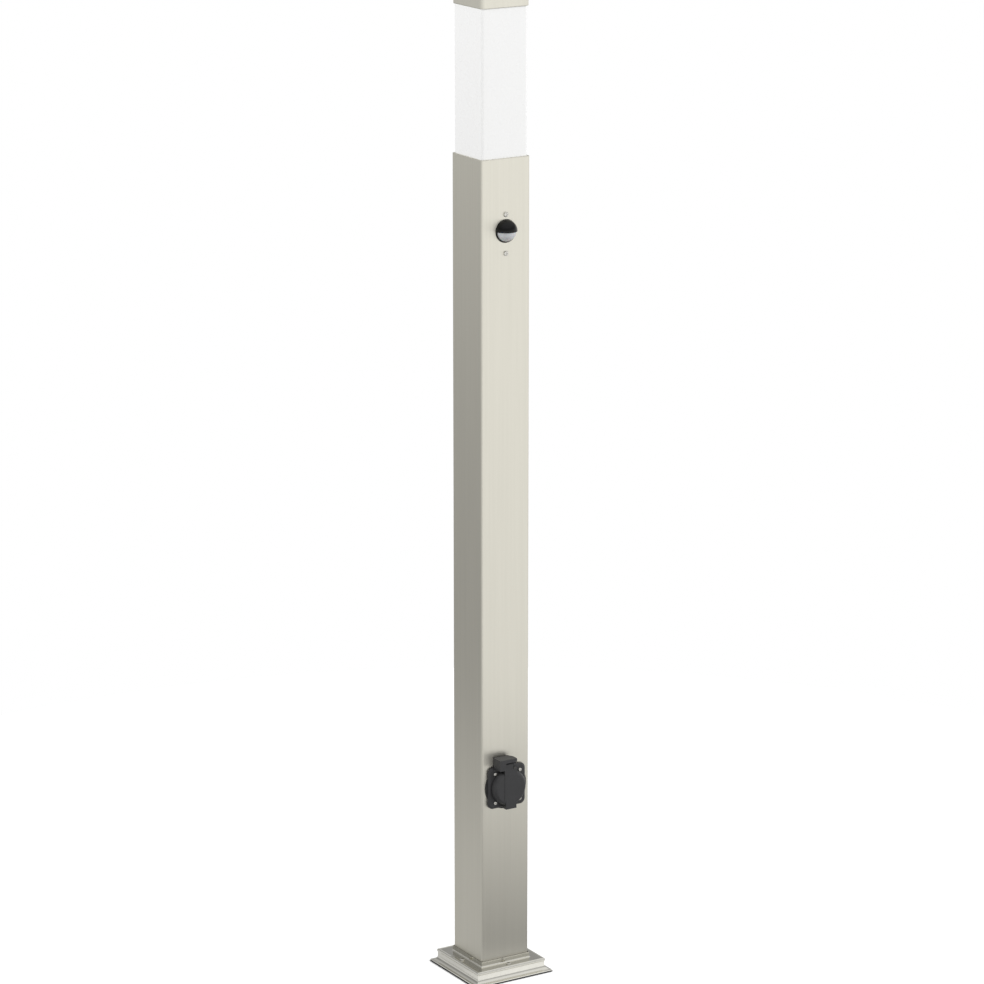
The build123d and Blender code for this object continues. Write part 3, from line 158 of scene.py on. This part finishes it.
def finish(name, light, dark, rough, metal=0.0, scale=300.0, stretch=(1, 1, 1), grain=2500.0,
           grain_depth=0.00002, strength=0.3, wear=None, wear_radius=0.0008, **sockets):
    """Material with two tones, a fine grain, varied gloss and worn edges."""
    made = bpy.data.materials.new(name)
    made.use_nodes = True
    tree = made.node_tree
    shader = tree.nodes["Principled BSDF"]
    place = add(tree, "ShaderNodeTexCoord").outputs["Object"]
    broad = noise(tree, place, scale, stretch)
    fine = noise(tree, place, grain, stretch, detail=3.0)
    colour = blend_colours(tree, spread(tree, broad, 0.0, 1.0), rgba(dark), rgba(light))
    gloss = spread(tree, noise(tree, place, scale * 1.7, stretch), *rough)
    if wear is not None:
        edge = edges(tree, wear_radius)
        patchy = add(
            tree, "ShaderNodeMath", {0: edge, 1: spread(tree, broad, *wear_patches)}, operation="MULTIPLY",
        ).outputs["Value"]
        colour = blend_colours(tree, patchy, colour, rgba(wear))
    tree.links.new(colour, shader.inputs["Base Color"])
    tree.links.new(gloss, shader.inputs["Roughness"])
    bump = add(
        tree, "ShaderNodeBump", {"Strength": strength, "Distance": grain_depth, "Height": fine},
    )
    tree.links.new(bump.outputs["Normal"], shader.inputs["Normal"])
    shader.inputs["Metallic"].default_value = metal
    for key, value in sockets.items():
        shader.inputs[key.replace("_", " ")].default_value = value
    return made


up = (1.0, 1.0, 0.012)
steel_light = (0.80, 0.776, 0.685)
steel_dark = (0.775, 0.752, 0.662)
looks = {
    "post_steel": finish(
        "post_steel", steel_light, steel_dark, (0.36, 0.40), metal=1.0, scale=420, stretch=up,
        grain=3800, grain_depth=0.00001, strength=0.12, wear=(0.78, 0.76, 0.69), Anisotropic=0.8,
    ),
    "cover_steel": finish(
        "cover_steel", (0.80, 0.785, 0.72), (0.77, 0.755, 0.69), (0.12, 0.18), metal=1.0, scale=120,
        grain=2400, grain_depth=0.000004, strength=0.05, wear=(0.82, 0.805, 0.74),
    ),
    "plate_steel": finish(
        "plate_steel", (0.66, 0.66, 0.64), (0.56, 0.56, 0.55), (0.35, 0.55), metal=1.0, scale=160,
        wear=(0.75, 0.75, 0.73),
    ),
    "screw_steel": finish(
        "screw_steel", (0.74, 0.725, 0.68), (0.64, 0.63, 0.59), (0.18, 0.32), metal=1.0, scale=900,
        grain=5000, grain_depth=0.00001, wear=(0.9, 0.89, 0.86), wear_radius=0.0003,
    ),
    "black_rubber": finish(
        "black_rubber", (0.035, 0.035, 0.034), (0.02, 0.02, 0.02), (0.62, 0.82), scale=250,
        grain=3500, grain_depth=0.00006, strength=0.5, wear=(0.06, 0.06, 0.058),
    ),
    "socket_plastic": finish(
        "socket_plastic", (0.052, 0.052, 0.054), (0.047, 0.047, 0.0485), (0.30, 0.38), scale=200,
        grain=2600, grain_depth=0.00002, strength=0.3, wear=(0.06, 0.06, 0.062), wear_radius=0.0005,
        Specular_IOR_Level=0.25,
    ),
    "insert_plastic": finish(
        "insert_plastic", (0.045, 0.045, 0.046), (0.032, 0.032, 0.033), (0.40, 0.55),
        grain_depth=0.00004, wear=(0.08, 0.08, 0.08),
    ),
    "brass": finish(
        "brass", (0.80, 0.62, 0.30), (0.66, 0.48, 0.21), (0.22, 0.42), metal=1.0, scale=500,
        wear=(0.88, 0.72, 0.42), wear_radius=0.0003,
    ),
    "sensor_black": finish(
        "sensor_black", (0.0045, 0.0045, 0.0048), (0.003, 0.003, 0.003), (0.10, 0.18), scale=220,
        grain=1800, grain_depth=0.00001, strength=0.1, wear=(0.012, 0.012, 0.012),
        wear_radius=0.0003, Specular_IOR_Level=0.25,
    ),
    "case_plastic": finish(
        "case_plastic", (0.085, 0.085, 0.085), (0.065, 0.065, 0.065), (0.45, 0.6),
        grain_depth=0.00004, wear=(0.14, 0.14, 0.14),
    ),
    "board": finish(
        "board", (0.05, 0.24, 0.10), (0.035, 0.18, 0.075), (0.30, 0.45), scale=600,
        wear=(0.40, 0.42, 0.25), wear_radius=0.0003,
    ),
    "can_metal": finish(
        "can_metal", (0.82, 0.82, 0.82), (0.72, 0.72, 0.72), (0.12, 0.25), metal=1.0, scale=800,
        wear=(0.9, 0.9, 0.9), wear_radius=0.0003,
    ),
    "relay_plastic": finish(
        "relay_plastic", (0.11, 0.21, 0.46), (0.08, 0.17, 0.40), (0.35, 0.5), scale=400,
        wear=(0.2, 0.3, 0.55), wear_radius=0.0003,
    ),
    "knob_plastic": finish(
        "knob_plastic", (0.82, 0.82, 0.79), (0.74, 0.74, 0.70), (0.38, 0.5), scale=600,
        wear=(0.9, 0.9, 0.88), wear_radius=0.0003,
    ),
    "nylon": finish(
        "nylon", (0.80, 0.80, 0.75), (0.72, 0.72, 0.66), (0.42, 0.58), scale=300,
        wear=(0.88, 0.88, 0.85),
    ),
    "earth_sheath": finish(
        "earth_sheath", (0.62, 0.58, 0.05), (0.10, 0.33, 0.06), (0.4, 0.55), scale=420,
        stretch=(1, 1, 0.25), wear=(0.7, 0.68, 0.2),
    ),
    "cable_sheath": finish(
        "cable_sheath", (0.045, 0.045, 0.045), (0.03, 0.03, 0.03), (0.48, 0.62), scale=350,
        wear=(0.09, 0.09, 0.09),
    ),
    "holder_plastic": finish(
        "holder_plastic", (0.84, 0.84, 0.81), (0.77, 0.77, 0.73), (0.22, 0.4), scale=200,
        wear=(0.9, 0.9, 0.88),
    ),
    "bulb_metal": finish(
        "bulb_metal", (0.78, 0.78, 0.77), (0.68, 0.68, 0.67), (0.2, 0.36), metal=1.0, scale=400,
        wear=(0.88, 0.88, 0.87), wear_radius=0.0003,
    ),
    "bulb_glass": finish(
        "bulb_glass", (0.90, 0.90, 0.88), (0.84, 0.84, 0.82), (0.28, 0.4), scale=150,
        grain_depth=0.00001, Transmission_Weight=0.35,
    ),
    "opal": finish(
        "opal", (0.945, 0.945, 0.94), (0.94, 0.94, 0.935), (0.26, 0.29), scale=40,
        grain=900, grain_depth=0.000004, strength=0.05, wear=(0.95, 0.95, 0.945),
    ),
}


def lens_look():
    """Milky lens with the fine grid of a motion sensor's segments."""
    made = finish(
        "lens_white", (0.66, 0.67, 0.69), (0.58, 0.59, 0.61), (0.16, 0.26), scale=160,
        grain_depth=0.00001, wear=(0.74, 0.75, 0.76), wear_radius=0.0003,
        Subsurface_Weight=0.1, Subsurface_Scale=0.002,
    )
    tree = made.node_tree
    shader = tree.nodes["Principled BSDF"]
    place = add(tree, "ShaderNodeTexCoord").outputs["Object"]
    lines = []
    for direction in ("X", "Z"):
        wave = add(
            tree, "ShaderNodeTexWave", {"Vector": place, "Scale": grid_scale, "Distortion": 0.0},
            wave_type="BANDS", bands_direction=direction, wave_profile="SIN",
        )
        lines.append(spread(tree, wave.outputs["Fac"], 1.0, 0.0, 0.0, grid_line))
    grid = add(tree, "ShaderNodeMath", {0: lines[0], 1: lines[1]}, operation="MAXIMUM")
    bump = add(
        tree, "ShaderNodeBump",
        {"Strength": 0.5, "Distance": grid_depth, "Height": grid.outputs["Value"]}, invert=True,
    )
    tree.links.new(bump.outputs["Normal"], shader.inputs["Normal"])
    return made


looks["lens_white"] = lens_look()

slots = {part["node"]: part["material_slot"] for part in frame["record"]["subparts"]}
for name, piece in nodes.items():
    piece.data.materials.clear()
    piece.data.materials.append(looks[slots[name]])


def ramp(tree, value, points):
    """Grey value that follows the points."""
    start, end = points[0][0], points[-1][0]
    made = add(tree, "ShaderNodeValToRGB", {"Fac": spread(tree, value, 0.0, 1.0, start, end)})
    stops = made.color_ramp.elements
    stops[0].color = grey(points[0][1])
    stops[-1].color = grey(points[-1][1])
    for place, tone in points[1:-1]:
        stops.new((place - start) / (end - start)).color = grey(tone)
    return made.outputs["Color"]


def rays(tree):
    """Two switches: 1 for rays that see the object's surroundings, and 1 for reflected rays."""
    path = add(tree, "ShaderNodeLightPath")
    seen = add(
        tree, "ShaderNodeMath",
        {0: path.outputs["Is Camera Ray"], 1: path.outputs["Is Transmission Ray"]}, operation="MAXIMUM",
    )
    return seen.outputs["Value"], path.outputs["Is Glossy Ray"]


def floor_look():
    """White to the camera, with the object's shadow and a painted contact shadow. Metal sees the two floor
    ramps, a painted reflection.
    """
    made = bpy.data.materials.new("floor")
    made.use_nodes = True
    made.cycles.emission_sampling = "NONE"
    tree = made.node_tree
    tree.nodes.remove(tree.nodes["Principled BSDF"])
    place = add(tree, "ShaderNodeTexCoord").outputs["Object"]
    speckle = spread(tree, noise(tree, place, 60.0), 0.0, 1.0)
    speckled = blend_colours(tree, speckle, grey(floor_tones[0]), grey(floor_tones[1]))
    # Painted contact shadow: ambient occlusion darkens the floor's colour and dims its glow where the
    # object meets it.
    contact = add(tree, "ShaderNodeAmbientOcclusion", {"Distance": contact_reach}, samples=12)
    clear = spread(tree, contact.outputs["AO"], 0.0, 1.0, *contact_range)
    colour = blend_colours(tree, clear, grey(contact_tone), speckled)
    matt = add(tree, "ShaderNodeBsdfDiffuse", {"Color": colour})
    seen, mirrored = rays(tree)
    strength = add(tree, "ShaderNodeMath", {0: seen, 1: clear}, operation="MULTIPLY")
    glow = add(
        tree, "ShaderNodeEmission",
        {"Color": grey(floor_glow), "Strength": strength.outputs["Value"]},
    )
    both = add(tree, "ShaderNodeAddShader", {0: matt.outputs[0], 1: glow.outputs[0]})
    # Painted reflection: for reflected rays the floor glows with the listed greys, brighter round the
    # foot, instead of its lit colour.
    reach = add(tree, "ShaderNodeVectorMath", {0: place, 1: mirror_way}, operation="DOT_PRODUCT")
    far_grey = ramp(tree, reach.outputs["Value"], floor_mirror)
    near_grey = ramp(tree, reach.outputs["Value"], foot_mirror)
    parts = add(tree, "ShaderNodeSeparateXYZ", {"Vector": place})
    sides = [
        add(tree, "ShaderNodeMath", {0: parts.outputs[axis]}, operation="ABSOLUTE").outputs["Value"]
        for axis in ("X", "Y")
    ]
    square = add(tree, "ShaderNodeMath", {0: sides[0], 1: sides[1]}, operation="MAXIMUM")
    foot = spread(tree, square.outputs["Value"], 1.0, 0.0, *foot_edge)
    mirror_grey = blend_colours(tree, foot, far_grey, near_grey)
    mirror = add(tree, "ShaderNodeEmission", {"Color": mirror_grey, "Strength": 1.0})
    chosen = add(
        tree, "ShaderNodeMixShader", {0: mirrored, 1: both.outputs[0], 2: mirror.outputs[0]},
    )
    tree.links.new(chosen.outputs[0], tree.nodes["Material Output"].inputs["Surface"])
    return made


rim = [
    (floor_reach * math.cos(2 * math.pi * i / floor_points),
     floor_reach * math.sin(2 * math.pi * i / floor_points), 0)
    for i in range(floor_points)
]
floor_mesh = bpy.data.meshes.new("floor")
floor_mesh.from_pydata(rim, [], [tuple(range(floor_points))])
floor_mesh.materials.append(floor_look())
floor = bpy.data.objects.new("floor", floor_mesh)
scene.collection.objects.link(floor)


def make_world():
    """White to the camera. The metal sees the two sky ramps, bright in front and dimmer behind."""
    world = bpy.data.worlds.new("studio")
    world.use_nodes = True
    scene.world = world
    tree = world.node_tree
    back = tree.nodes["Background"]
    direction = add(tree, "ShaderNodeTexCoord").outputs["Generated"]
    rise = add(tree, "ShaderNodeSeparateXYZ", {"Vector": direction}).outputs["Z"]
    dot = add(tree, "ShaderNodeVectorMath", {0: direction, 1: mirror_way}, operation="DOT_PRODUCT")
    side = spread(tree, dot.outputs["Value"], 0.0, 1.0, *side_range)
    mirror = blend_colours(tree, side, ramp(tree, rise, rear_sky), ramp(tree, rise, front_sky))
    seen, mirrored = rays(tree)
    soft = blend_colours(tree, side, grey(soft_tones[0]), grey(soft_tones[1]))
    other = blend_colours(tree, mirrored, soft, mirror)
    colour = blend_colours(tree, seen, other, grey(1.0))
    tree.links.new(colour, back.inputs["Color"])


make_world()


def add_lamp(name, place, size, power, target):
    """Soft square lamp that shines at a point and isn't seen in the metal."""
    data = bpy.data.lights.new(name, "AREA")
    data.shape = "SQUARE"
    data.size = size
    data.energy = power
    made = bpy.data.objects.new(name, data)
    scene.collection.objects.link(made)
    made.location = place
    made.rotation_euler = (Vector(place) - Vector(target)).to_track_quat("Z", "Y").to_euler()
    made.visible_camera = False
    made.visible_glossy = False


for row in lamps:
    add_lamp(*row)
